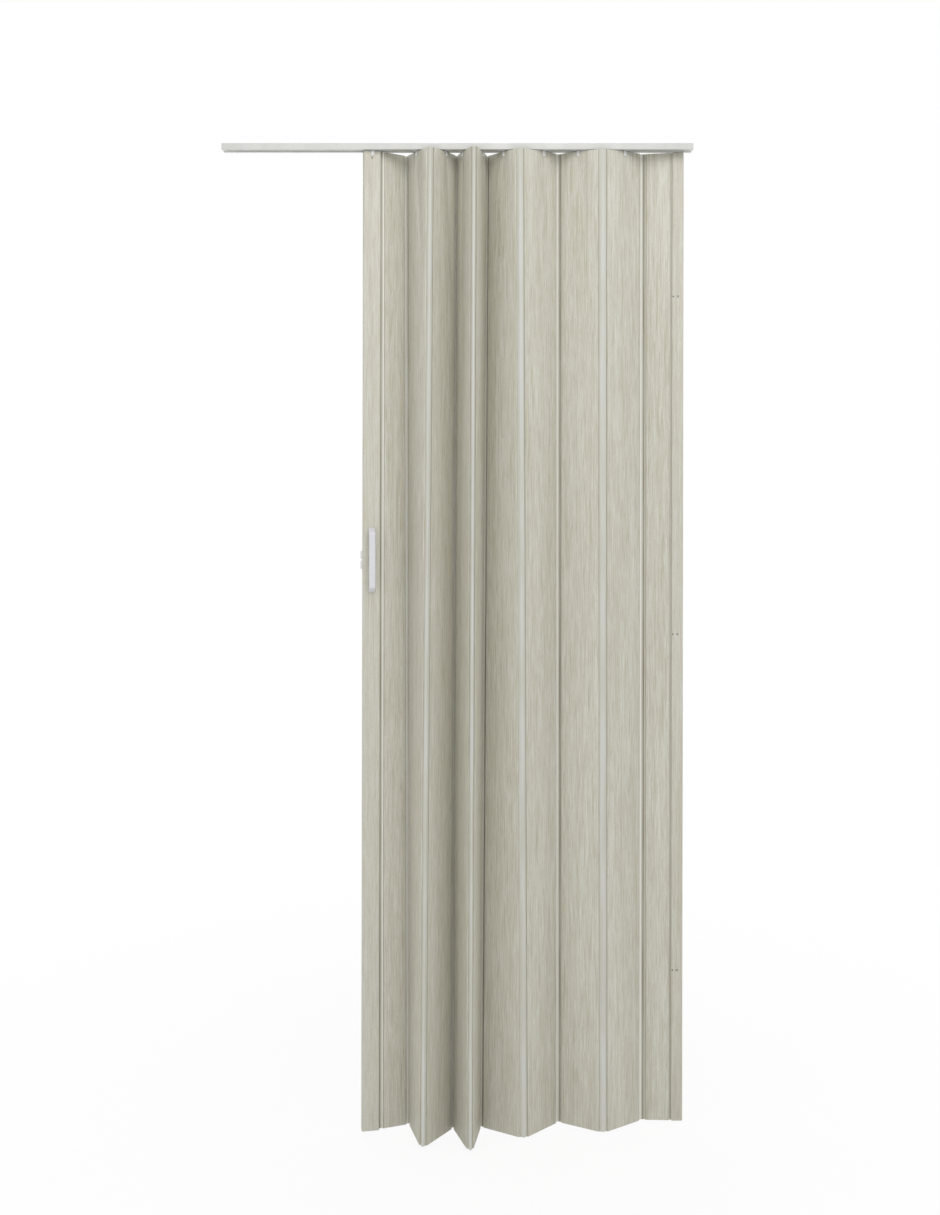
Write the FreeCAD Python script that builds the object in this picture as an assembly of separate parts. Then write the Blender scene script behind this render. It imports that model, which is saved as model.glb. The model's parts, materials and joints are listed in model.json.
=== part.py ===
import FreeCAD, Part
import math
import os

# Folding door in vinyl: hollow slats joined by flexible hinge strips, hung by
# glides in a head track, drawn partly open.
# Millimetres. The origin is the middle of the track's top face. +X runs along
# the track towards the fixed end post, +Y away from the room that the door is
# seen from, +Z up.

# Head track: a channel that is open below, with a lip on each side of its slot
track_length = 968.0
track_width = 34.0
track_height = 13.0
track_wall = 1.5
track_corner = 1.0
track_slot = 10.0
track_holes = 4
track_hole_radius = 2.25
track_hole_inset = 49.0

# Curtain as a whole
curtain_gap = 1.5
curtain_height = 2012.0
end_inset = 16.0
end_offset = 12.0

# Slats: flat hollow extrusions with two webs inside
slat_width = 84.0
lead_slat_width = 50.0
end_slat_width = 50.0
slat_thickness = 7.0
slat_wall = 1.0
slat_corner = 1.0

# Posts: deeper extrusions at the two ends of the curtain
lead_post_width = 36.0
lead_post_depth = 16.0
end_post_width = 24.0
end_post_depth = 10.0
post_wall = 1.5
post_corner = 2.5
post_holes = 3
post_hole_radius = 2.25
post_hole_head = 297.0
post_hole_foot = 315.0

# Hinge strips: a flexible web with a wedge-backed bead along each edge, which
# locks behind the lips of a groove in the slat. A web bends at its crease, and
# runs straight on from the slats beside it.
hinge_span = 16.0
lead_hinge_span = 8.0
end_hinge_span = 3.0
crease_length = 6.5
web_thickness = 1.0
bead_width = 3.2
bead_length = 1.6
bead_nose = 1.0
bead_clearance = 0.2
lip_length = 1.6

# Hangers: a glide in the track, a neck and a fork that straddles a slat
glide_length = 22.0
glide_width = 26.0
glide_corner = 5.0
glide_thickness = 3.0
glide_edge = 0.8
glide_clearance = 0.2
neck_radius = 3.0
neck_sides = 8
fork_width = 6.0
fork_wall = 1.6
fork_reach = 10.0
fork_clearance = 0.2
fork_headroom = 0.5
notch_depth = 3.0
button_radius = 2.4
button_sides = 12
button_height = 0.9
button_drop = 6.5

# Pull handles: one bow on each face of the lead post
handle_length = 133.0
handle_width = 13.0
handle_stand = 18.0
handle_bar = 5.0
handle_slope = 10.0
handle_foot = 12.0
handle_lip = 2.5
handle_bend = 5.0
handle_edge = 1.2
handle_height = 841.0

# Latch: a plate on the lead post's edge with two catches
latch_length = 44.0
latch_width = 9.0
latch_plate = 0.8
latch_reach = 4.0
catch_length = 17.0
catch_gap = 3.0
catch_width = 6.0
catch_edge = 1.2

# Plan directions of the pieces from the lead post to the end post, in degrees
# from +X towards +Y, along the curtain's top edge and along its bottom edge
top_turns = [10, 38, -61, 59, -71, 76, -50, 35, -30, 30, -11, 0]
bottom_turns = [10, 20, -74, 54, -71, 80, -29, 43, -27, 33, -2, 0]

# Rows of flat facets from top to bottom on a piece that turns on its way down
facet_rows = 5

# Names from the lead post to the end post, and of the strips between them
full_slats = len(top_turns) - 4
pieces = ["lead_post", "lead_slat"]
pieces += ["slat_%d" % (i + 1) for i in range(full_slats)]
pieces += ["end_slat", "end_post"]
hinges = ["lead_hinge"] + ["hinge_%d" % (i + 1) for i in range(full_slats + 1)] + ["end_hinge"]
widths = [lead_post_width, lead_slat_width] + [slat_width] * full_slats
widths += [end_slat_width, end_post_width]
spans = [lead_hinge_span] + [hinge_span] * (full_slats + 1) + [end_hinge_span]
creases = [min(crease_length, span) for span in spans]

# Heights of the curtain and of the track's lips
curtain_top = -(track_height + curtain_gap)
curtain_bottom = curtain_top - curtain_height
lip_top = -(track_height - track_wall)
end_x = track_length / 2 - end_inset
mouth = web_thickness + 2 * bead_clearance
pocket_width = bead_width + 2 * bead_clearance
pocket_start = lip_length
pocket_shoulder = lip_length + bead_length + 2 * bead_clearance
pocket_end = pocket_shoulder + bead_nose
slat_corners = (slat_corner, 1)
post_corners = (post_corner, 3)
bend_steps = 6
up = FreeCAD.Vector(0, 0, 1)


def direction(angle):
    """Unit vector in plan at an angle in degrees from +X."""
    turn = math.radians(angle)
    return FreeCAD.Vector(math.cos(turn), math.sin(turn), 0)


class Frame:
    """A place in plan at one level: u runs along a piece, v across it."""

    def __init__(self, origin, angle):
        self.origin = origin
        self.angle = angle
        self.along = direction(angle)
        self.across = direction(angle + 90)

    def at(self, u, v):
        return self.origin + self.along * u + self.across * v

    def moved(self, u, v=0.0):
        return Frame(self.at(u, v), self.angle)


def chord(length, turn):
    """Straight distance across an even bend of some length and turn in degrees."""
    half = math.radians(turn) / 2
    return length * math.sin(half) / half if half else length


def lay_out(turns, level):
    """Frames at the left end of every piece, worked out from the end post."""
    right_end = FreeCAD.Vector(end_x, end_offset, level)
    frames = []
    for i in reversed(range(len(pieces))):
        frame = Frame(right_end - direction(turns[i]) * widths[i], turns[i])
        frames.insert(0, frame)
        if i > 0:
            flat = (spans[i - 1] - creases[i - 1]) / 2
            mean = (turns[i] + turns[i - 1]) / 2
            across = chord(creases[i - 1], turns[i] - turns[i - 1])
            right_end = frame.at(-flat, 0) - direction(mean) * across - direction(turns[i - 1]) * flat
    return frames


top_frames = lay_out(top_turns, curtain_top)
bottom_frames = lay_out(bottom_turns, curtain_bottom)


def closed(points):
    return Part.makePolygon(points + points[:1])


def wall(top, bottom, along, rows):
    """Faces between an outline at the top and the same outline at the bottom.

    A face that turns is laid in flat triangles. They are all split in the same
    direction, so a thin wall keeps its thickness.
    """
    rings = []
    for row in range(rows + 1):
        share = row / rows
        rings.append([high + (low - high) * share for high, low in zip(top, bottom)])
    faces = []
    for upper, lower in zip(rings, rings[1:]):
        for i in range(len(upper)):
            j = (i + 1) % len(upper)
            if rows == 1:
                patches = [[upper[i], upper[j], lower[j], lower[i]]]
            elif (upper[j] - upper[i]).dot(along) > 0:
                patches = [[upper[i], upper[j], lower[j]], [upper[i], lower[j], lower[i]]]
            else:
                patches = [[upper[i], upper[j], lower[i]], [upper[j], lower[j], lower[i]]]
            faces += [Part.Face(closed(points)) for points in patches]
    return faces


def rule(tops, bottoms, along, rows):
    """Solid between outlines at the top and bottom. Those after the first are hollows."""
    faces = []
    for outlines in (tops, bottoms):
        wires = Part.makeCompound([closed(points) for points in outlines])
        faces += Part.makeFace(wires, "Part::FaceMakerBullseye").Faces
    for top, bottom in zip(tops, bottoms):
        faces += wall(top, bottom, along, rows)
    skin = Part.makeCompound(faces)
    skin.sewShape()
    shell = skin.Shells[0]
    if Part.makeSolid(shell).Volume < 0:
        shell.reverse()
    return Part.makeSolid(shell)


def corner_points(frame, u, v, side_u, side_v, radius, steps):
    """Points round an outer corner, from its side face on to its front or back."""
    points = []
    for i in range(steps + 1):
        turn = math.radians(90 * i / steps)
        inset_u = radius * (1 - math.cos(turn))
        inset_v = radius * (1 - math.sin(turn))
        points.append(frame.at(u - side_u * inset_u, v - side_v * inset_v))
    return points


def groove_points(frame, end, side):
    """Lipped groove in an end face: a narrow mouth and a pocket for the bead."""
    steps = [
        (0, mouth / 2), (pocket_start, mouth / 2), (pocket_start, pocket_width / 2),
        (pocket_shoulder, pocket_width / 2), (pocket_end, mouth / 2),
    ]
    points = [frame.at(end - side * u, -side * v) for u, v in steps]
    return points + [frame.at(end - side * u, side * v) for u, v in reversed(steps)]


def extrusion_outline(frame, width, depth, radius, steps, left_groove, right_groove):
    """Outline of a slat or post, counter-clockwise from its front right corner."""
    half = depth / 2
    points = corner_points(frame, width, -half, 1, -1, radius, steps)[::-1]
    if right_groove:
        points += groove_points(frame, width, 1)
    points += corner_points(frame, width, half, 1, 1, radius, steps)
    points += corner_points(frame, 0, half, -1, 1, radius, steps)[::-1]
    if left_groove:
        points += groove_points(frame, 0, -1)
    return points + corner_points(frame, 0, -half, -1, -1, radius, steps)


def box_outline(frame, left, right, half):
    ends = [(left, -half), (right, -half), (right, half), (left, half)]
    return [frame.at(u, v) for u, v in ends]


def extrusion(index, depth, skin, corner, webs, left_groove=True, right_groove=True):
    """One hollow extrusion of the curtain, from its top edge to its bottom edge."""
    width = widths[index]
    radius, steps = corner
    grooved = pocket_end + skin
    left = grooved if left_groove else skin
    right = width - (grooved if right_groove else skin)
    step = (right - left + skin) / (webs + 1)
    ends = []
    for frame in (top_frames[index], bottom_frames[index]):
        outlines = [extrusion_outline(frame, width, depth, radius, steps, left_groove, right_groove)]
        for i in range(webs + 1):
            start = left + i * step
            outlines.append(box_outline(frame, start, start + step - skin, depth / 2 - skin))
        ends.append(outlines)
    turns = top_turns[index] != bottom_turns[index]
    return rule(ends[0], ends[1], top_frames[index].along, facet_rows if turns else 1)


def bend_point(start, right_turn, length, share, offset):
    """Point on a web that bends evenly from its start frame to a new direction."""
    turn = (right_turn - start.angle) * share
    middle = start.origin + direction(start.angle + turn / 2) * chord(length * share, turn)
    return middle + direction(start.angle + turn + 90) * offset


def hinge_outline(left, left_width, right, span, crease):
    """Outline of a strip: two beads in their grooves and the web between."""
    half = web_thickness / 2
    near = lip_length + bead_clearance
    far = near + bead_length
    bead = [(near, half), (near, bead_width / 2), (far, bead_width / 2), (far + bead_nose, half)]
    slat_end = left.moved(left_width)
    start = slat_end.moved((span - crease) / 2)
    shares = [i / bend_steps for i in range(bend_steps + 1)]
    points = [slat_end.at(-u, v) for u, v in bead]
    points += [slat_end.at(-u, -v) for u, v in reversed(bead)]
    points += [bend_point(start, right.angle, crease, share, -half) for share in shares]
    points += [right.at(u, -v) for u, v in bead]
    points += [right.at(u, v) for u, v in reversed(bead)]
    return points + [bend_point(start, right.angle, crease, share, half) for share in reversed(shares)]


def hinge(index):
    """Flexible strip between piece index and the next one."""
    ends = [
        [hinge_outline(frames[index], widths[index], frames[index + 1], spans[index], creases[index])]
        for frames in (top_frames, bottom_frames)
    ]
    along = top_frames[index].along + top_frames[index + 1].along
    return rule(ends[0], ends[1], along, facet_rows)


def hanger_frame(index):
    """Where a piece's mid-line passes under the middle of the track's slot."""
    frame = top_frames[index]
    return frame.moved(-frame.origin.y / frame.along.y)


def block(frame, half_u, half_v, bottom, top):
    """Upright block about a frame, between two heights."""
    base = Frame(FreeCAD.Vector(frame.origin.x, frame.origin.y, bottom), frame.angle)
    face = Part.Face(closed(box_outline(base, -half_u, half_u, half_v)))
    return face.extrude(up * (top - bottom))


def glide(x):
    """Eight-sided plate that rides on the track's lips."""
    bottom = lip_top + glide_clearance
    half_x, half_y = glide_length / 2, glide_width / 2
    corner_x, corner_y = half_x - glide_corner, half_y - glide_corner
    points = [
        (half_x, -corner_y), (half_x, corner_y), (corner_x, half_y), (-corner_x, half_y),
        (-half_x, corner_y), (-half_x, -corner_y), (-corner_x, -half_y), (corner_x, -half_y),
    ]
    rim = closed([FreeCAD.Vector(x + u, v, bottom) for u, v in points])
    plate = Part.Face(rim).extrude(up * glide_thickness)
    rims = [edge for edge in plate.Edges if edge.BoundBox.ZLength < 0.01]
    return plate.makeChamfer(glide_edge, rims)


def prism(centre, axis, side, radius, sides, length):
    """Regular prism from a centre point along an axis, one corner towards side."""
    other = axis.cross(side)
    corners = []
    for i in range(sides):
        turn = 2 * math.pi * (i + 0.5) / sides
        corners.append(centre + side * (radius * math.cos(turn)) + other * (radius * math.sin(turn)))
    return Part.Face(closed(corners)).extrude(axis * length)


def hanger(index, depth):
    """Glide, neck and fork in one moulding."""
    frame = hanger_frame(index)
    spot = FreeCAD.Vector(frame.origin.x, frame.origin.y, 0)
    inner = depth / 2 + fork_clearance
    outer = inner + fork_wall
    seat = curtain_top - notch_depth + fork_clearance
    bridge_top = -(track_height + fork_headroom)
    neck_length = lip_top + glide_clearance - seat
    neck = prism(spot + up * seat, up, frame.along, neck_radius, neck_sides, neck_length)
    parts = [neck, block(frame, fork_width / 2, outer, seat, bridge_top)]
    for side in (-1, 1):
        middle = side * (inner + outer) / 2
        prong = block(frame.moved(0, middle), fork_width / 2, fork_wall / 2,
                      curtain_top - fork_reach, bridge_top)
        face = frame.at(0, side * outer) - up * button_drop
        button = prism(face, frame.across * side, up, button_radius, button_sides, button_height)
        parts += [prong, button]
    return glide(spot.x).fuse(parts).removeSplitter()


def notch(index, depth):
    """Slot in a piece's top edge for the bridge of its fork."""
    frame = hanger_frame(index)
    return block(frame, fork_width / 2 + fork_clearance, depth,
                 curtain_top - notch_depth, curtain_top + notch_depth)


def track():
    """Channel with its slot and the screw holes through its top."""
    half = track_width / 2
    body = Part.makeBox(track_length, track_width, track_height,
                        FreeCAD.Vector(-track_length / 2, -half, -track_height))
    long_edges = [edge for edge in body.Edges if abs(edge.Length - track_length) < 0.01]
    body = body.makeFillet(track_corner, long_edges)
    inside = Part.makeBox(track_length, track_width - 2 * track_wall, track_height - 2 * track_wall,
                          FreeCAD.Vector(-track_length / 2, track_wall - half, lip_top))
    slot = Part.makeBox(track_length, track_slot, track_height / 2,
                        FreeCAD.Vector(-track_length / 2, -track_slot / 2, -track_height))
    first = track_hole_inset - track_length / 2
    pitch = -2 * first / (track_holes - 1)
    holes = [
        Part.makeCylinder(track_hole_radius, 2 * track_wall,
                          FreeCAD.Vector(first + i * pitch, 0, -1.5 * track_wall))
        for i in range(track_holes)
    ]
    return body.cut([inside, slot] + holes)


def end_post():
    """Jamb post with its screw holes from front to back."""
    index = len(pieces) - 1
    body = extrusion(index, end_post_depth, post_wall, post_corners, 0, right_groove=False)
    frame = top_frames[index]
    face = frame.at(end_post_width / 2, -end_post_depth)
    pitch = (curtain_height - post_hole_head - post_hole_foot) / (post_holes - 1)
    holes = [
        Part.makeCylinder(post_hole_radius, 2 * end_post_depth,
                          face - up * (post_hole_head + i * pitch), frame.across)
        for i in range(post_holes)
    ]
    return body.cut(holes)


def on_lead_post(solid, u, v, drop, sideways):
    """Set a solid on the leaning lead post, its back (-Y of its own) outwards.

    drop is the depth below the top of the curtain, and sideways is the plan
    direction that the solid's own +X takes.
    """
    top = top_frames[0].at(u, v)
    bottom = bottom_frames[0].at(u, v)
    lean = (top - bottom).normalize()
    place = top + (bottom - top) * (drop / curtain_height)
    rise = (lean - sideways * lean.dot(sideways)).normalize()
    inward = rise.cross(sideways)
    matrix = FreeCAD.Matrix(
        sideways.x, inward.x, rise.x, place.x,
        sideways.y, inward.y, rise.y, place.y,
        sideways.z, inward.z, rise.z, place.z,
        0, 0, 0, 1)
    placed = solid.copy()
    placed.transformShape(matrix)
    return placed


def handle():
    """Bow handle on the plane y = 0, standing out towards -Y."""
    half = handle_length / 2
    crest = half - handle_slope
    inner = handle_stand - handle_bar
    points = [
        (0, -half), (-handle_lip, -half), (-handle_stand, -crest), (-handle_stand, crest),
        (-handle_lip, half), (0, half), (0, half - handle_foot),
        (-inner, crest - handle_bar), (-inner, handle_bar - crest), (0, handle_foot - half),
    ]
    corners = [FreeCAD.Vector(-handle_width / 2, y, z) for y, z in points]
    bow = Part.Face(Part.makePolygon(corners + corners[:1])).extrude(FreeCAD.Vector(handle_width, 0, 0))
    bends = [
        edge for edge in bow.Edges
        if abs(edge.Length - handle_width) < 0.01 and edge.BoundBox.YMax < -inner + 0.01
    ]
    bow = bow.makeFillet(handle_bend, bends)
    rims = []
    for edge in bow.Edges:
        box = edge.BoundBox
        on_side = box.XLength < 0.01 and box.YMax < 0.01 and box.YMin < -0.01
        faces_out = box.YMin < -inner - 0.01 or abs(box.Center.z) > half - handle_slope / 2
        if on_side and faces_out and abs(box.Center.z) <= half:
            rims.append(edge)
    return bow.makeChamfer(handle_edge, rims)


def latch():
    """Plate on the plane y = 0 with two catches that stand out towards -Y."""
    plate = Part.makeBox(latch_width, latch_plate, latch_length,
                         FreeCAD.Vector(-latch_width / 2, -latch_plate, -latch_length / 2))
    catches = []
    for side in (-1, 1):
        low = side * (catch_gap + catch_length) / 2 - catch_length / 2
        catch = Part.makeBox(catch_width, latch_reach, catch_length,
                             FreeCAD.Vector(-catch_width / 2, -latch_reach, low))
        tips = [edge for edge in catch.Edges if edge.BoundBox.YMax < -latch_reach / 2]
        catches.append(catch.makeChamfer(catch_edge, tips))
    return plate.fuse(catches).removeSplitter()


def build():
    """All pieces by name."""
    shapes = {"track_channel": track()}
    shapes["lead_post"] = extrusion(0, lead_post_depth, post_wall, post_corners, 1, left_groove=False)
    for i in range(1, len(pieces) - 1):
        shapes[pieces[i]] = extrusion(i, slat_thickness, slat_wall, slat_corners, 2)
    shapes["end_post"] = end_post()
    for i in range(len(hinges)):
        shapes[hinges[i]] = hinge(i)
    shapes["lead_post"] = shapes["lead_post"].cut(notch(0, lead_post_depth))
    shapes["hanger_lead"] = hanger(0, lead_post_depth)
    for i in range(full_slats):
        name = pieces[i + 2]
        shapes[name] = shapes[name].cut(notch(i + 2, slat_thickness))
        shapes["hanger_%d" % (i + 1)] = hanger(i + 2, slat_thickness)
    middle = lead_post_width / 2
    lead = top_frames[0]
    front = on_lead_post(handle(), middle, -lead_post_depth / 2, handle_height, lead.along)
    back = on_lead_post(handle(), middle, lead_post_depth / 2, handle_height, lead.along * -1)
    shapes["handle_front"] = front
    shapes["handle_back"] = back
    shapes["latch"] = on_lead_post(latch(), 0, 0, handle_height, lead.across * -1)
    return shapes


os.makedirs("parts", exist_ok=True)
for name, shape in build().items():
    shape.exportStep("parts/%s.step" % name)
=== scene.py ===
"""Folding door in grained vinyl: the finish of its pieces and a plain studio.

The pieces of the frame are in metres, with +X along the track, +Y away from the
room and +Z up. The origin is the middle of the track's top face.
"""
import json
import math

import bpy
from mathutils import Matrix, Vector


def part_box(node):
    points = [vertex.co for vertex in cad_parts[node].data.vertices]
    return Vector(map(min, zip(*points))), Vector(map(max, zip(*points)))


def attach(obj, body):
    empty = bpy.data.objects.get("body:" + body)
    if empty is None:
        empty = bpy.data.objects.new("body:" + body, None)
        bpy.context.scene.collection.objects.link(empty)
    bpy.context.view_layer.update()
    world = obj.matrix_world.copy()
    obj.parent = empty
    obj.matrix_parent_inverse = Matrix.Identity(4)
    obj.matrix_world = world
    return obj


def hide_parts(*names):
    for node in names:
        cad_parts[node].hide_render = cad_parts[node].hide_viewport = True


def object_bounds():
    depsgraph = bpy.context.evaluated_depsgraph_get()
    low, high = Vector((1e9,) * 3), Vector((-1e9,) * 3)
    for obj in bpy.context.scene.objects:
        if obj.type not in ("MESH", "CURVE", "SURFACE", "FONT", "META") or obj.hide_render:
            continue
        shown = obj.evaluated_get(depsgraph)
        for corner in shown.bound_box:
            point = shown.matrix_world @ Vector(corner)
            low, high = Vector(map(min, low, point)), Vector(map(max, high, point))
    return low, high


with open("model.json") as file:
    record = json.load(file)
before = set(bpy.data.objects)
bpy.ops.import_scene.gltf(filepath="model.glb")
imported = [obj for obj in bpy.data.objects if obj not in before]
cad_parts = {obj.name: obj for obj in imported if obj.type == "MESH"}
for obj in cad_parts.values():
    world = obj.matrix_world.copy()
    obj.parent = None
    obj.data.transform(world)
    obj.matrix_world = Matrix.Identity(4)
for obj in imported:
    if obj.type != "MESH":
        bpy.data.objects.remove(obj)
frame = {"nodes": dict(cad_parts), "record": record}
FRAME_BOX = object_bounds()
MOUNTS = {mount["name"]: mount for mount in frame["record"]["mounts"]}

bl_info = {
    "name": "Folding Door",
    "version": (1, 0, 0),
    "blender": (4, 5, 0),
    "location": "View3D > Sidebar > Folding Door",
    "description": "Finishes a folding door of vinyl slats and sets it in a plain studio",
    "category": "Add Mesh",
}

MILLIMETRE = 0.001
FULL_SLATS = 8
SLATS = ["lead_slat"] + ["slat_%d" % (i + 1) for i in range(FULL_SLATS)] + ["end_slat"]
POSTS = ["lead_post", "end_post"]
STRIPS = ["lead_hinge"] + ["hinge_%d" % (i + 1) for i in range(FULL_SLATS + 1)] + ["end_hinge"]
HANGERS = ["hanger_lead"] + ["hanger_%d" % (i + 1) for i in range(FULL_SLATS)]
HANDLES = ["handle_front", "handle_back"]

# Strips in the valleys that the front shows, and the side on which each one has its painted shadow in
# the gap
VALLEYS = {"lead_hinge": -1, "end_hinge": 1}
VALLEYS.update({"hinge_%d" % (i + 1): 1 for i in range(0, FULL_SLATS + 1, 2)})
STRIP_MARK = 3.0 * MILLIMETRE  # from a valley's middle to its strip's painted highlight and painted shadow

MERGE_DISTANCE = 0.01 * MILLIMETRE  # vertices nearer than this are one
FLAT_ANGLE = 0.4  # degrees, below which the faces of a node lie in one plane
END_DEPTH = 0.5 * MILLIMETRE  # depth of the two ends that give a piece its direction
GRAIN = "grain"  # attribute with a vertex's place across, through and down its piece
PATTERN_STEP = 0.37  # how far the grain of a piece is moved from that of the one before

# Marks to the metre, across and down
WAVER_MARKS = (45, 9)
SPECK_MARKS = (950, 420)
DRAWN_MARKS = (900, 2.0)
STRIP_CLOUD_MARKS = (60, 5.0)
SKIN_MARKS = (1400, 1400)
MOULD_CLOUD_MARKS = (24, 9)
RUBBED_MARKS = (90, 40)
STEEL_GRAIN_MARKS = (2600, 900)
STEEL_PATCH_MARKS = (420, 420)
FLOOR_CLOUD_MARKS = (1.5, 1.5)

# Marks to one streak of grain, across and down
THREAD_MARKS = (1.7, 3.2)
BAND_MARKS = (1 / 6, 1 / 3)
BROAD_MARKS = (1 / 22, 1 / 6)

# Slopes of a domed head from its rim inwards: shares of its radius and of its height
SCREW_SLOPES = ((0.22, 0.32), (0.22, 0.13))
PIN_SLOPES = ((0.28, 0.40), (0.35, 0.20))


def srgb(red, green, blue):
    """Linear colour, with alpha, of an 8-bit display colour."""
    def linear(level):
        level = level / 255
        return level / 12.92 if level <= 0.04045 else ((level + 0.055) / 1.055) ** 2.4
    return (linear(red), linear(green), linear(blue), 1.0)


def colour_property(name, description, shade):
    return bpy.props.FloatVectorProperty(
        name=name, description=description, default=shade, subtype="COLOR", size=4, min=0, max=1)


def length_property(name, description, default):
    return bpy.props.FloatProperty(
        name=name, description=description, default=default, unit="LENGTH", min=0)


def share_property(name, description, default):
    return bpy.props.FloatProperty(
        name=name, description=description, default=default, subtype="FACTOR", min=0, max=1)


def number_property(name, description, default):
    return bpy.props.FloatProperty(name=name, description=description, default=default)


class DoorFinish(bpy.types.PropertyGroup):
    """Colours and grain of the door."""

    vinyl: colour_property("Vinyl", "Ground colour of the grained film", srgb(207, 205, 193))
    vinyl_dark: colour_property("Vinyl dark", "Colour of the dark grain", srgb(176, 170, 147))
    vinyl_pale: colour_property("Vinyl pale", "Colour of the pale grain", srgb(224, 222, 214))
    strip: colour_property("Strip", "Colour of the flexible strips", srgb(212, 213, 208))
    # Valley strips: colour and width of the painted highlight along the ridge, and of the painted
    # shadow in the gap
    ridge_highlight: colour_property("Ridge", "Colour of the ridge along a valley strip", srgb(244, 243, 237))
    gap: colour_property("Gap", "Colour of the grimy gap beside a valley strip", srgb(112, 105, 86))
    ridge_highlight_width: length_property("Ridge width", "Width of a valley strip's ridge", 0.0030)
    gap_shadow_width: length_property("Gap width", "Width of the gap beside a valley strip", 0.0028)
    track: colour_property("Track", "Colour of the track", srgb(215, 215, 211))
    hanger: colour_property("Hanger", "Colour of the hangers", srgb(226, 227, 228))
    handle: colour_property("Handle", "Colour of the handles", srgb(221, 221, 226))
    latch: colour_property("Latch", "Colour of the latch", srgb(222, 221, 217))
    steel: colour_property("Steel", "Colour of the screws", srgb(176, 178, 182))
    dark_steel: colour_property("Dark steel", "Colour of the rivet and the pins", srgb(96, 92, 86))
    streak_width: length_property("Streak width", "Usual width of one streak of grain", 0.0014)
    streak_length: length_property("Streak length", "Usual length of one streak of grain", 0.14)
    streak_depth: share_property("Streak depth", "How strongly the streaks show", 0.66)
    thread_depth: share_property("Thread depth", "How strongly the thin threads show", 0.55)
    speck_depth: share_property("Speck depth", "How strongly the specks show", 0.34)
    post_grain: share_property("Post grain", "Depth of the posts' grain beside the slats'", 0.65)
    waver: length_property("Waver", "How far a streak strays to the side", 0.0015)
    # The dark line along a slat's edges is painted shade, where the mouth of its strip's groove
    # shades it
    seam: length_property("Seam", "Width of the dark line along a slat's edges", 0.0012)
    seam_shade_depth: share_property("Seam depth", "How strongly the dark line shows", 0.55)
    edge: length_property("Edge", "Rounding of the slats' sharp edges", 0.0003)
    moulded_edge: length_property("Moulded edge", "Rounding of the mouldings' edges", 0.0005)


class DoorFixings(bpy.types.PropertyGroup):
    """Screws, pins and the rivet that hold the door."""

    head_radius: length_property("Head radius", "Radius of a track screw's head", 0.0042)
    head_height: length_property("Head height", "Height of a track screw's head", 0.0014)
    shank_radius: length_property("Shank radius", "Radius of a track screw's shank", 0.0019)
    track_wall: length_property("Track wall", "Thickness of the track's top", 0.0015)
    jamb_radius: length_property("Jamb radius", "Radius of a jamb screw's sunk head", 0.0020)
    jamb_height: length_property("Jamb height", "Height of a jamb screw's head", 0.0012)
    jamb_sink: length_property("Jamb sink", "Depth of a jamb screw's head in its hole", 0.0004)
    pin_radius: length_property("Pin radius", "Radius of a pin that locks the end strip", 0.0014)
    pin_inset: length_property("Pin inset", "From the end post's edge to its pins", 0.0026)
    rivet_radius: length_property("Rivet radius", "Radius of the rivet under the lead hanger", 0.0016)
    rivet_drop: length_property("Rivet drop", "From the lead hanger's foot to the rivet", 0.0040)


class StudioSettings(bpy.types.PropertyGroup):
    """Camera, floor and lamps."""

    camera_place: bpy.props.FloatVectorProperty(
        name="Camera place", description="Where the camera stands",
        default=(0.0257, -2.788, -0.6505), subtype="TRANSLATION", unit="LENGTH")
    camera_dip: bpy.props.FloatProperty(
        name="Camera dip", description="How far the camera looks down",
        default=math.radians(0.591), subtype="ANGLE")
    sensor_width: number_property("Sensor width", "Width of the sensor in millimetres", 36.0)
    focal_pixels: number_property("Focal length", "Focal length in pixels of the image", 1348.2)
    image_height: number_property("Image height", "Height of the image in pixels", 1215.0)
    axis_rise: number_property("Axis rise", "Pixels from the image's middle up to the axis", 133.4)
    floor_gap: length_property("Floor gap", "Clearance under the curtain", 0.012)
    floor_radius: length_property("Floor radius", "Radius of the round floor", 3.2)
    floor_dull: colour_property("Floor dull", "Colour of the floor's clouds", srgb(240, 240, 240))
    floor_pale: colour_property("Floor pale", "Colour between the clouds", srgb(244, 244, 244))
    fade_start: share_property("Fade start", "Share of the radius where the fade starts", 0.05)
    fade_end: share_property("Fade end", "Share of the radius where the floor is white", 0.60)
    fade_least: share_property("Least fade", "Share of plain white under the door", 0.90)
    world_strength: number_property("World strength", "Level of the light from all round", 0.76)
    key_power: number_property("Key power", "Watts of the lamp high at the front", 25.0)
    fill_power: number_property("Fill power", "Watts of the lamp at the front left", 4.0)
    back_power: number_property("Back power", "Watts of the lamp behind the door", 6.0)


def finish_values():
    return bpy.context.scene.door_finish


def fixing_values():
    return bpy.context.scene.door_fixings


def studio_values():
    return bpy.context.scene.door_studio


class Value:
    """A shader socket that adds Math nodes when it stands in an expression."""

    def __init__(self, graph, socket):
        self.graph = graph
        self.socket = socket

    def __add__(self, other):
        return self.graph.math("ADD", self, other)

    def __radd__(self, other):
        return self.graph.math("ADD", other, self)

    def __sub__(self, other):
        return self.graph.math("SUBTRACT", self, other)

    def __rsub__(self, other):
        return self.graph.math("SUBTRACT", other, self)

    def __mul__(self, other):
        return self.graph.math("MULTIPLY", self, other)

    def __rmul__(self, other):
        return self.graph.math("MULTIPLY", other, self)

    def __abs__(self):
        return self.graph.math("ABSOLUTE", self)


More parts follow.
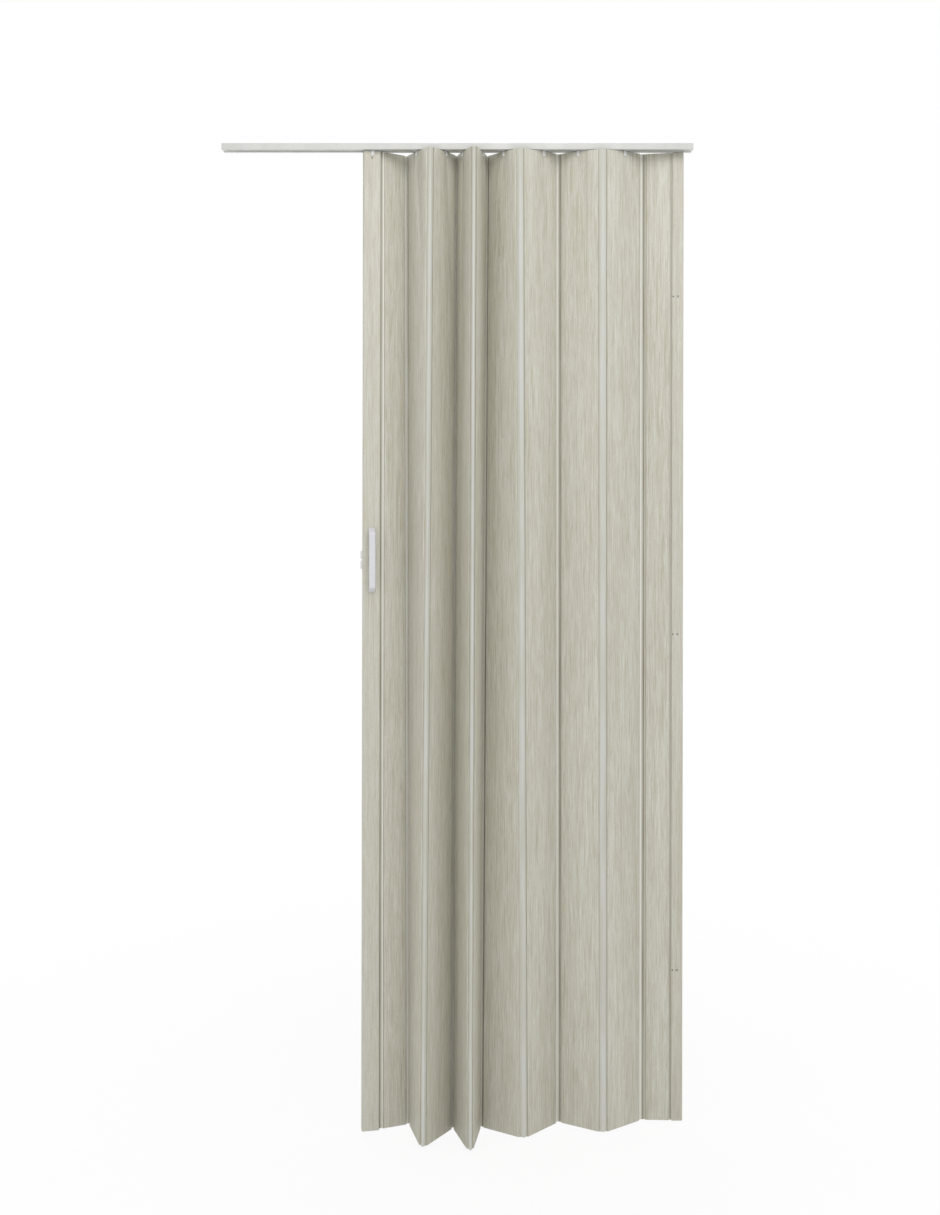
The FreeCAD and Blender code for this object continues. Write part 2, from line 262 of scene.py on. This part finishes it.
class Graph:
    """Node tree of one material or of the world."""

    def __init__(self, owner):
        owner.use_nodes = True
        self.tree = owner.node_tree
        self.tree.nodes.clear()

    def add(self, kind, settings=None, inputs=None, output=0):
        """One node: its settings come first, then the values and links of its sockets."""
        node = self.tree.nodes.new("ShaderNode" + kind)
        for name, value in (settings or {}).items():
            setattr(node, name, value)
        for name, value in (inputs or {}).items():
            if isinstance(value, Value):
                self.tree.links.new(value.socket, node.inputs[name])
            else:
                node.inputs[name].default_value = value
        return Value(self, node.outputs[output]) if node.outputs else None

    def math(self, operation, *values):
        return self.add("Math", {"operation": operation}, dict(enumerate(values)))

    def range(self, value, low, high, to_low=0.0, to_high=1.0):
        """value spread from one range to another, with soft ends."""
        inputs = {"Value": value, "From Min": low, "From Max": high,
                  "To Min": to_low, "To Max": to_high}
        return self.add("MapRange", {"interpolation_type": "SMOOTHSTEP"}, inputs)

    def band(self, value, middle, width):
        """1 in a band round a middle value and 0 outside it, with soft edges."""
        half, soft = width / 2, width / 4
        rise = self.range(value, middle - half - soft, middle - half + soft)
        return rise * self.range(value, middle + half + soft, middle + half - soft)

    def mix(self, factor, first, second):
        """Colour between two colours."""
        return self.add("Mix", {"data_type": "RGBA"}, {0: factor, 6: first, 7: second}, output=2)

    def moved(self, vector, offset):
        return self.add("VectorMath", {"operation": "ADD"}, {0: vector, 1: offset})

    def scaled(self, vector, scale):
        return self.add("Mapping", {}, {"Vector": vector, "Scale": scale})

    def marks(self, vector, counts, detail=2.0, roughness=0.5):
        """Noise with so many marks to the metre across and down."""
        across, down = counts
        vector = self.scaled(vector, (across, across, down))
        inputs = {"Vector": vector, "Scale": 1.0, "Detail": detail, "Roughness": roughness}
        return self.add("TexNoise", {}, inputs)

    def object_place(self):
        return self.add("TexCoord", output="Object")

    def grain_place(self):
        """Place across, through and down the piece, as lay_grain stores it."""
        return self.add("Attribute", {"attribute_name": GRAIN}, output="Vector")

    def sideways(self, place):
        return self.add("SeparateXYZ", {}, {"Vector": place}, output="X")

    def bump(self, height, distance, strength):
        return self.add("Bump", {}, {"Height": height, "Distance": distance, "Strength": strength})

    def surface(self, inputs):
        shader = self.add("BsdfPrincipled", {}, inputs)
        self.add("OutputMaterial", {}, {"Surface": shader})


def new_material(name):
    material = bpy.data.materials.new(name)
    return material, Graph(material)


def darkened(shade, share):
    """A colour with its light cut to a share."""
    return tuple(share * channel for channel in shade[:3]) + (1.0,)


def grained_vinyl(name, shift, half_width, streaks):
    """Printed and embossed wood grain that runs down the piece, with painted shade at its seams.

    Dark and pale streaks gather in bands, thin threads are dark pores or pale hairs,
    the ground darkens in broad patches, and fine specks lie over it all. shift moves
    the pattern, so that no two pieces are alike, and streaks is its share of depth.
    """
    finish = finish_values()
    material, graph = new_material(name)
    laid = graph.grain_place()
    place = graph.moved(laid, (shift, shift / 3, shift / 7))
    stray = (graph.marks(place, WAVER_MARKS) - 0.5) * 2 * finish.waver
    place = graph.moved(place, graph.add("CombineXYZ", {}, {"X": stray, "Y": stray}))

    def grain(per_streak, detail=2.0, roughness=0.5):
        across, down = per_streak
        counts = (across / finish.streak_width, down / finish.streak_length)
        return graph.marks(place, counts, detail, roughness)

    fine = grain((1, 1), 2.0, 0.6)
    thread = grain(THREAD_MARKS, 1.0)
    band = grain(BAND_MARKS)
    broad = grain(BROAD_MARKS, 1.0)
    speck = graph.marks(place, SPECK_MARKS, 2.0, 0.6)
    pores = graph.range(thread, 0.57, 0.66)
    hair = graph.range(thread, 0.43, 0.35)
    pale = graph.range(fine, 0.52, 0.62) * graph.range(band, 0.38, 0.60, 0.45, 1.0)
    dark = graph.range(fine, 0.48, 0.36) * graph.range(band, 0.60, 0.40, 0.35, 1.0)
    patches = graph.range(broad, 0.35, 0.65, 0.0, 0.22)
    specks = graph.range(speck, 0.46, 0.66, 0.0, finish.speck_depth)
    streak_depth = finish.streak_depth * streaks
    thread_depth = finish.thread_depth * streaks
    colour = graph.mix(patches, finish.vinyl, finish.vinyl_dark)
    colour = graph.mix(dark * streak_depth, colour, finish.vinyl_dark)
    colour = graph.mix(pale * streak_depth, colour, finish.vinyl_pale)
    colour = graph.mix(pores * thread_depth, colour, finish.vinyl_dark)
    colour = graph.mix(hair * thread_depth, colour, finish.vinyl_pale)
    colour = graph.mix(specks, colour, finish.vinyl_dark)
    # Painted shade: a dark line along the edges, where the mouth of the strip's groove shades the
    # slat
    from_middle = abs(graph.sideways(laid))
    seam = graph.range(from_middle, half_width - finish.seam, half_width - 0.25 * finish.seam)
    colour = graph.mix(seam * finish.seam_shade_depth, colour, darkened(finish.vinyl_dark, 0.62))
    relief = fine * 0.5 + band * 0.3 + speck * 0.4 - pores * 0.5
    graph.surface({
        "Base Color": colour,
        "Roughness": graph.range(fine, 0.3, 0.7, 0.50, 0.38) + pores * 0.12,
        "Specular IOR Level": 0.42,
        "Normal": graph.bump(relief, 0.12 * MILLIMETRE, 0.8),
    })
    return material


def strip_vinyl(name, half_width, shadow_side):
    """Soft satin strip with the faint lines of its extrusion.

    A strip in a valley has the slats' colour, a painted highlight along a ridge on one
    side and a painted shadow in the gap on the other. One on a peak, which has no painted
    light, is paler and takes on the slats' colour towards its edges.
    """
    finish = finish_values()
    material, graph = new_material(name)
    place = graph.grain_place()
    lines = graph.marks(place, DRAWN_MARKS)
    cloud = graph.marks(place, STRIP_CLOUD_MARKS)
    sideways = graph.sideways(place)
    warm = tuple((ground + dark) / 2 for ground, dark in zip(finish.vinyl, finish.vinyl_dark))
    colour = finish.vinyl if shadow_side else finish.strip
    colour = graph.mix(graph.range(cloud, 0.35, 0.70, 0.0, 0.45), colour, warm)
    colour = graph.mix(graph.range(lines, 0.62, 0.40, 0.0, 0.22), colour, finish.vinyl_dark)
    relief = lines
    # Painted light on a valley strip: a pale painted highlight along its ridge and a dark painted
    # shadow in the gap beside the slat
    if shadow_side:
        sideways = sideways * shadow_side
        ridge_highlight = graph.band(sideways, -STRIP_MARK, finish.ridge_highlight_width)
        gap = graph.band(sideways, STRIP_MARK, finish.gap_shadow_width)
        uneven = graph.range(cloud, 0.30, 0.70, 0.55, 0.95)
        colour = graph.mix(ridge_highlight * 0.9, colour, finish.ridge_highlight)
        colour = graph.mix(gap * uneven, colour, finish.gap)
        relief = lines + ridge_highlight * 3.0 - gap * 3.0
    else:
        edge = graph.range(abs(sideways), 0.30 * half_width, 0.80 * half_width)
        colour = graph.mix(edge * graph.range(lines, 0.30, 0.62, 0.60, 1.0), colour, warm)
    graph.surface({
        "Base Color": colour,
        "Roughness": graph.range(cloud, 0.3, 0.7, 0.30, 0.40),
        "Specular IOR Level": 0.5,
        "Normal": graph.bump(relief, 0.06 * MILLIMETRE, 0.6),
    })
    return material


def moulded_plastic(name, shade, roughness, cloudiness, coat=0.0):
    """Moulded plastic: a fine eggshell skin, slight clouds and rubbed patches."""
    material, graph = new_material(name)
    place = graph.object_place()
    skin = graph.marks(place, SKIN_MARKS)
    cloud = graph.marks(place, MOULD_CLOUD_MARKS, 3.0)
    rubbed = graph.range(graph.marks(place, RUBBED_MARKS, 4.0, 0.7), 0.56, 0.74)
    colour = graph.mix(graph.range(cloud, 0.35, 0.68), shade, darkened(shade, 1 - cloudiness))
    graph.surface({
        "Base Color": colour,
        "Roughness": graph.range(cloud, 0.3, 0.7, roughness, roughness + 0.07) + rubbed * 0.10,
        "Coat Weight": coat,
        "Coat Roughness": 0.12,
        "Normal": graph.bump(skin * 0.5 + cloud, 0.04 * MILLIMETRE, 0.5),
    })
    return material


def screw_steel(name, shade):
    """Steel with a fine grain and a dull patch here and there."""
    material, graph = new_material(name)
    place = graph.object_place()
    grain = graph.marks(place, STEEL_GRAIN_MARKS)
    patch = graph.marks(place, STEEL_PATCH_MARKS, 3.0)
    graph.surface({
        "Base Color": graph.mix(graph.range(patch, 0.45, 0.70), shade, darkened(shade, 0.55)),
        "Metallic": 1.0,
        "Roughness": graph.range(patch, 0.4, 0.7, 0.28, 0.55),
        "Normal": graph.bump(grain, 0.03 * MILLIMETRE, 0.5),
    })
    return material


def deselect():
    if bpy.context.mode != "OBJECT":
        bpy.ops.object.mode_set(mode="OBJECT")
    bpy.ops.object.select_all(action="DESELECT")


def activate(piece):
    deselect()
    piece.select_set(True)
    bpy.context.view_layer.objects.active = piece


def copy_of(node, name):
    """A piece of its own with the node's shape, its loose triangles merged."""
    source = frame["nodes"][node]
    piece = bpy.data.objects.new(name, source.data.copy())
    piece.data.name = name
    bpy.context.scene.collection.objects.link(piece)
    activate(piece)
    bpy.ops.object.mode_set(mode="EDIT")
    bpy.ops.mesh.select_all(action="SELECT")
    bpy.ops.mesh.remove_doubles(threshold=MERGE_DISTANCE)
    bpy.ops.mesh.dissolve_limited(angle_limit=math.radians(FLAT_ANGLE), delimit={"SHARP"})
    bpy.ops.object.mode_set(mode="OBJECT")
    return piece


def round_edges(piece, width, segments, angle):
    """Round every edge that is sharper than an angle in degrees."""
    activate(piece)
    bevel = piece.modifiers.new("Bevel", "BEVEL")
    bevel.width = width
    bevel.segments = segments
    bevel.limit_method = "ANGLE"
    bevel.angle_limit = math.radians(angle)
    bevel.use_clamp_overlap = True
    bevel.miter_outer = "MITER_ARC"
    bpy.ops.object.modifier_apply(modifier=bevel.name)


def smooth(piece, angle):
    """Shade smooth across every bend that is less sharp than an angle in degrees."""
    activate(piece)
    bpy.ops.object.shade_smooth_by_angle(angle=math.radians(angle))


def finish_piece(piece, material, slot, *nodes):
    """Give a piece its material and its body, and hide the nodes that it stands for. slot is not
    used.
    """
    if not piece.data.polygons:
        raise RuntimeError("%s came out with no faces" % piece.name)
    piece.data.materials.clear()
    piece.data.materials.append(material)
    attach(piece, "root")
    if nodes:
        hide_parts(*nodes)


def dress_moulding(node, name, material, slot, edge, segments=2, corner=25, blend=40):
    """Give a rigid node its piece, with round corners and smooth bends."""
    piece = copy_of(node, name)
    round_edges(piece, edge, segments, corner)
    smooth(piece, blend)
    finish_piece(piece, material, slot, node)


def plan_line(points):
    """Middle and direction in plan of a row of points, turned towards +X."""
    middle = sum(points, Vector((0, 0, 0))) / len(points)
    first = max(points, key=lambda point: (point - middle).length)
    last = max(points, key=lambda point: (point - first).length)
    along = (last - first).normalized()
    return middle, along if along.x > 0 else -along


def lay_grain(piece, turns=True):
    """Store on each vertex its place across, through and down the piece.

    The piece leans and turns from its top to its bottom, and the grain follows it.
    What comes back is half of its width.
    """
    places = [vertex.co.copy() for vertex in piece.data.vertices]
    top = max(place.z for place in places)
    bottom = min(place.z for place in places)
    high_middle, high_along = plan_line([place for place in places if place.z > top - END_DEPTH])
    low_middle, low_along = plan_line([place for place in places if place.z < bottom + END_DEPTH])
    grain = piece.data.attributes.new(GRAIN, "FLOAT_VECTOR", "POINT")
    for index, place in enumerate(places):
        share = (top - place.z) / (top - bottom)
        offset = place - high_middle.lerp(low_middle, share)
        along = high_along.lerp(low_along, share).normalized() if turns else Vector((1, 0, 0))
        through = Vector((-along.y, along.x, 0))
        grain.data[index].vector = (offset.dot(along), offset.dot(through), place.z)
    return max(abs(entry.vector.x) for entry in grain.data)


class DOOR_OT_dress_slats(bpy.types.Operator):
    """Finish the slats and posts with grained vinyl"""

    bl_idname = "door.dress_slats"
    bl_label = "Slats and Posts"

    def execute(self, context):
        finish = finish_values()
        for index, node in enumerate(SLATS + POSTS):
            piece = copy_of(node, node + "_grained")
            round_edges(piece, finish.edge, segments=2, angle=40)
            half_width = lay_grain(piece)
            smooth(piece, 35)
            streaks = finish.post_grain if node in POSTS else 1.0
            shift = PATTERN_STEP * (index + 1)
            material = grained_vinyl(node + "_vinyl", shift, half_width, streaks)
            finish_piece(piece, material, "slat", node)
        return {"FINISHED"}


class DOOR_OT_dress_strips(bpy.types.Operator):
    """Finish the flexible strips between the slats"""

    bl_idname = "door.dress_strips"
    bl_label = "Hinge Strips"

    def execute(self, context):
        for node in STRIPS:
            piece = copy_of(node, node + "_strip")
            half_width = lay_grain(piece, turns=False)
            smooth(piece, 40)
            material = strip_vinyl(node + "_satin", half_width, VALLEYS.get(node, 0))
            finish_piece(piece, material, "hinge", node)
        return {"FINISHED"}


class DOOR_OT_dress_track(bpy.types.Operator):
    """Finish the head track"""

    bl_idname = "door.dress_track"
    bl_label = "Track"

    def execute(self, context):
        finish = finish_values()
        material = moulded_plastic("track_plastic", finish.track, 0.30, 0.066, coat=0.15)
        dress_moulding("track_channel", "track_rail", material, "track", finish.edge,
                       corner=40, blend=35)
        return {"FINISHED"}


class DOOR_OT_dress_hangers(bpy.types.Operator):
    """Finish the hangers"""

    bl_idname = "door.dress_hangers"
    bl_label = "Hangers"

    def execute(self, context):
        finish = finish_values()
        material = moulded_plastic("hanger_plastic", finish.hanger, 0.28, 0.066)
        for node in HANGERS:
            dress_moulding(node, node + "_glide", material, "hanger", finish.edge / 2, corner=30)
        return {"FINISHED"}


class DOOR_OT_dress_handles(bpy.types.Operator):
    """Finish the two handles and the latch"""

    bl_idname = "door.dress_handles"
    bl_label = "Handles and Latch"

    def execute(self, context):
        finish = finish_values()
        edge = finish.moulded_edge
        material = moulded_plastic("handle_plastic", finish.handle, 0.26, 0.066, coat=0.25)
        for node in HANDLES:
            dress_moulding(node, node + "_bow", material, "handle", edge, segments=3)
        material = moulded_plastic("latch_plastic", finish.latch, 0.34, 0.11)
        dress_moulding("latch", "latch_catches", material, "latch", edge / 2)
        return {"FINISHED"}


def start_round(name, radius, height, sides):
    """A disc that stands on the ground plane, in edit mode with its upper end selected."""
    deselect()
    bpy.ops.mesh.primitive_cylinder_add(
        vertices=sides, radius=radius, depth=height, location=(0, 0, height / 2))
    piece = bpy.context.active_object
    piece.name = name
    piece.data.name = name
    bpy.ops.object.transform_apply(location=True, rotation=True, scale=True)
    bpy.context.tool_settings.mesh_select_mode = (False, False, True)
    bpy.ops.object.mode_set(mode="EDIT")
    select_end(piece, max)
    return piece


def select_end(piece, highest_or_lowest):
    """Select the flat end of a round piece that max or min picks."""
    bpy.ops.mesh.select_all(action="DESELECT")
    bpy.ops.object.mode_set(mode="OBJECT")
    faces = piece.data.polygons
    end = highest_or_lowest(faces, key=lambda face: face.center.z + 1e-6 * face.normal.z)
    end.select = True
    bpy.ops.object.mode_set(mode="EDIT")


def raise_dome(slopes, radius, height):
    """Turn the selected end into a low dome, one inset for each of its slopes."""
    for width_share, height_share in slopes:
        bpy.ops.mesh.inset(thickness=width_share * radius, depth=height_share * height)


def extrude_by(rise):
    bpy.ops.mesh.extrude_region_move(TRANSFORM_OT_translate={"value": (0, 0, rise)})


def shape_screw(name, radius, height, shank_radius, shank_length):
    """Screw with a domed head, a round recess and a shank below the ground plane."""
    rim_height = 0.55 * height
    recess_rim = 0.20 * radius
    recess_depth = 0.6 * height
    tip_length = 0.2 * shank_length
    tip_taper = 0.25 * shank_radius
    piece = start_round(name, radius, rim_height, sides=24)
    raise_dome(SCREW_SLOPES, radius, height)
    bpy.ops.mesh.inset(thickness=recess_rim, depth=0)
    extrude_by(-recess_depth)
    select_end(piece, min)
    bpy.ops.mesh.inset(thickness=radius - shank_radius, depth=0)
    extrude_by(tip_length - shank_length)
    bpy.ops.mesh.inset(thickness=tip_taper, depth=tip_length)
    bpy.ops.object.mode_set(mode="OBJECT")
    smooth(piece, 40)
    return piece


def shape_pin_head(name, radius):
    """Head of a pin or rivet, as a low dome."""
    height = 0.4 * radius
    piece = start_round(name, radius, 0.4 * height, sides=16)
    raise_dome(PIN_SLOPES, radius, height)
    bpy.ops.object.mode_set(mode="OBJECT")
    smooth(piece, 60)
    return piece


def set_down(pattern, name, seat, direction, material, slot):
    """Copy of a pattern on its seat, turned so that its head looks in a direction."""
    piece = bpy.data.objects.new(name, pattern.data.copy())
    piece.data.name = name
    bpy.context.scene.collection.objects.link(piece)
    turn = Vector(direction).to_track_quat("Z", "Y").to_matrix().to_4x4()
    piece.data.transform(Matrix.Translation(seat) @ turn)
    finish_piece(piece, material, slot)


def track_screw_seats():
    """Points under the track's top where its screws' heads sit."""
    seats = []
    for name in ("track_screws_outer", "track_screws_inner"):
        half = MOUNTS[name]["dims"]["spacing_x_mm"] * MILLIMETRE / 2
        seats += [Vector((side * half, 0, -fixing_values().track_wall)) for side in (-1, 1)]
    return seats


def jamb_screw_heights():
    middle = MOUNTS["jamb_screws"]["pos_m"][2]
    half = MOUNTS["jamb_screws"]["dims"]["spacing_y_mm"] * MILLIMETRE / 2
    return [middle + half, middle, middle - half]


class DOOR_OT_set_fixings(bpy.types.Operator):
    """Set the screws, the locking pins and the rivet"""

    bl_idname = "door.set_fixings"
    bl_label = "Fixings"

    def execute(self, context):
        finish = finish_values()
        bright = screw_steel("screw_zinc", finish.steel)
        dark = screw_steel("pin_steel", finish.dark_steel)
        self.set_track_screws(bright)
        self.set_post_fixings(bright, dark)
        self.set_rivet(dark)
        return {"FINISHED"}

    def set_track_screws(self, material):
        fixings = fixing_values()
        shank_length = 0.9 * fixings.track_wall
        pattern = shape_screw("track_screw_pattern", fixings.head_radius, fixings.head_height,
                              fixings.shank_radius, shank_length)
        for index, seat in enumerate(track_screw_seats()):
            set_down(pattern, "track_screw_%d" % (index + 1), seat, (0, 0, -1), material, "track")
        bpy.data.objects.remove(pattern)

    def set_post_fixings(self, screw_material, pin_material):
        fixings = fixing_values()
        low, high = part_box("end_post")
        head_depth = fixings.jamb_sink + fixings.jamb_height
        shank_radius = 0.75 * fixings.jamb_radius
        shank_length = 0.95 * (high.y - low.y - head_depth)
        screw = shape_screw("jamb_screw_pattern", fixings.jamb_radius, fixings.jamb_height,
                            shank_radius, shank_length)
        pin = shape_pin_head("pin_pattern", fixings.pin_radius)
        for index, height in enumerate(jamb_screw_heights()):
            seat = Vector((MOUNTS["jamb_screws"]["pos_m"][0], low.y + head_depth, height))
            set_down(screw, "jamb_screw_%d" % (index + 1), seat, (0, -1, 0), screw_material, "slat")
            seat = Vector((low.x + fixings.pin_inset, low.y, height))
            set_down(pin, "lock_pin_%d" % (index + 1), seat, (0, -1, 0), pin_material, "slat")
        bpy.data.objects.remove(screw)
        bpy.data.objects.remove(pin)

    def set_rivet(self, material):
        """One rivet on the lead post's front, found by a ray from well in front of it."""
        fixings = fixing_values()
        low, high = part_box("hanger_lead")
        ray_start = Vector(((low.x + high.x) / 2, -1, low.z - fixings.rivet_drop))
        bpy.context.view_layer.update()
        post = bpy.data.objects["lead_post_grained"]
        found, seat, normal, face = post.ray_cast(ray_start, Vector((0, 1, 0)))
        if not found:
            raise RuntimeError("the rivet found no lead post")
        pattern = shape_pin_head("rivet_pattern", fixings.rivet_radius)
        set_down(pattern, "lead_rivet", seat, normal, material, "slat")
        bpy.data.objects.remove(pattern)


def white_to_camera(graph, level):
    """1 where the camera, a mirror or glass looks, and a light level elsewhere."""
    camera = graph.add("LightPath", output="Is Camera Ray")
    glossy = graph.add("LightPath", output="Is Glossy Ray")
    through = graph.add("LightPath", output="Is Transmission Ray")
    seen = graph.math("MAXIMUM", graph.math("MAXIMUM", camera, glossy), through)
    return seen * (1 - level) + level


class DOOR_OT_build_studio(bpy.types.Operator):
    """Set the floor, the lamps, the world and the camera"""

    bl_idname = "door.build_studio"
    bl_label = "Studio"

    def execute(self, context):
        studio = studio_values()
        self.make_world(studio)
        self.make_floor(studio)
        self.make_lamps(studio)
        self.make_camera(studio)
        return {"FINISHED"}

    def make_world(self, studio):
        world = bpy.data.worlds.new("studio_air")
        graph = Graph(world)
        level = white_to_camera(graph, studio.world_strength)
        light = graph.add("Background", {}, {"Color": (1, 1, 1, 1), "Strength": level})
        graph.add("OutputWorld", {}, {"Surface": light})
        bpy.context.scene.world = world

    def make_floor(self, studio):
        deselect()
        bpy.ops.mesh.primitive_circle_add(
            vertices=96, radius=studio.floor_radius, fill_type="NGON", location=(0, 0, 0))
        floor = bpy.context.active_object
        floor.name = "studio_floor"
        bpy.ops.object.mode_set(mode="EDIT")
        bpy.ops.mesh.select_all(action="SELECT")
        bpy.ops.transform.translate(value=(0, 0, FRAME_BOX[0].z - studio.floor_gap))
        bpy.ops.object.mode_set(mode="OBJECT")
        floor.data.materials.append(self.floor_paint(studio))

    def floor_paint(self, studio):
        """Pale paint that keeps a soft shadow and fades to plain white for the camera."""
        material, graph = new_material("floor_pale")
        place = graph.object_place()
        flat = graph.scaled(place, (1 / studio.floor_radius, 1 / studio.floor_radius, 0))
        distance = graph.add("VectorMath", {"operation": "LENGTH"}, {0: flat}, output="Value")
        white_share = graph.range(distance, studio.fade_start, studio.fade_end, studio.fade_least)
        cloud = graph.marks(place, FLOOR_CLOUD_MARKS)
        paint = graph.add("BsdfPrincipled", {}, {
            "Base Color": graph.mix(cloud, studio.floor_dull, studio.floor_pale),
            "Roughness": 0.8,
        })
        white = graph.add("Emission", {}, {"Color": (1, 1, 1, 1), "Strength": 1.0})
        fade = graph.add("LightPath", output="Is Camera Ray") * white_share
        both = graph.add("MixShader", {}, {0: fade, 1: paint, 2: white})
        graph.add("OutputMaterial", {}, {"Surface": both})
        return material

    def make_lamps(self, studio):
        self.hang_lamp("key_lamp", studio.key_power, place=(0.4, -2.3, 1.4), size=1.6, rise=0.75)
        self.hang_lamp("fill_lamp", studio.fill_power, place=(-1.9, -2.6, -0.2), size=1.8)
        self.hang_lamp("back_lamp", studio.back_power, place=(-0.8, 2.8, 0.4), size=2.0)

    def hang_lamp(self, name, power, place, size, rise=0.0):
        """Square lamp that looks at the door's middle, or so far above it."""
        data = bpy.data.lights.new(name, "AREA")
        data.energy = power
        data.size = size
        lamp = bpy.data.objects.new(name, data)
        bpy.context.scene.collection.objects.link(lamp)
        lamp.location = place
        door_middle = (FRAME_BOX[0] + FRAME_BOX[1]) / 2
        aim = door_middle + Vector((0, 0, rise)) - Vector(place)
        lamp.rotation_euler = aim.to_track_quat("-Z", "Y").to_euler()

    def make_camera(self, studio):
        """Camera whose sensor's width lies along the image's height, its longer side."""
        data = bpy.data.cameras.new("studio_camera")
        data.sensor_width = studio.sensor_width
        data.lens = studio.focal_pixels / studio.image_height * studio.sensor_width
        data.shift_y = -studio.axis_rise / studio.image_height
        camera = bpy.data.objects.new("studio_camera", data)
        bpy.context.scene.collection.objects.link(camera)
        camera.location = studio.camera_place
        camera.rotation_euler = (math.pi / 2 - studio.camera_dip, 0, 0)
        bpy.context.scene.camera = camera
        bpy.context.scene.view_settings.view_transform = "Standard"


STEPS = (
    DOOR_OT_dress_slats,
    DOOR_OT_dress_strips,
    DOOR_OT_dress_track,
    DOOR_OT_dress_hangers,
    DOOR_OT_dress_handles,
    DOOR_OT_set_fixings,
    DOOR_OT_build_studio,
)


class DOOR_PT_sidebar(bpy.types.Panel):
    """Steps of the folding door in the order in which they run"""

    bl_idname = "DOOR_PT_sidebar"
    bl_label = "Folding Door"
    bl_space_type = "VIEW_3D"
    bl_region_type = "UI"
    bl_category = "Folding Door"

    def draw(self, context):
        for step in STEPS:
            self.layout.operator(step.bl_idname)


CLASSES = (DoorFinish, DoorFixings, StudioSettings) + STEPS + (DOOR_PT_sidebar,)


def register():
    for item in CLASSES:
        bpy.utils.register_class(item)
    bpy.types.Scene.door_finish = bpy.props.PointerProperty(type=DoorFinish)
    bpy.types.Scene.door_fixings = bpy.props.PointerProperty(type=DoorFixings)
    bpy.types.Scene.door_studio = bpy.props.PointerProperty(type=StudioSettings)


def unregister():
    del bpy.types.Scene.door_studio
    del bpy.types.Scene.door_fixings
    del bpy.types.Scene.door_finish
    for item in reversed(CLASSES):
        bpy.utils.unregister_class(item)


def main():
    register()
    bpy.ops.door.dress_slats()
    bpy.ops.door.dress_strips()
    bpy.ops.door.dress_track()
    bpy.ops.door.dress_hangers()
    bpy.ops.door.dress_handles()
    bpy.ops.door.set_fixings()
    bpy.ops.door.build_studio()


if __name__ == "__main__":
    main()
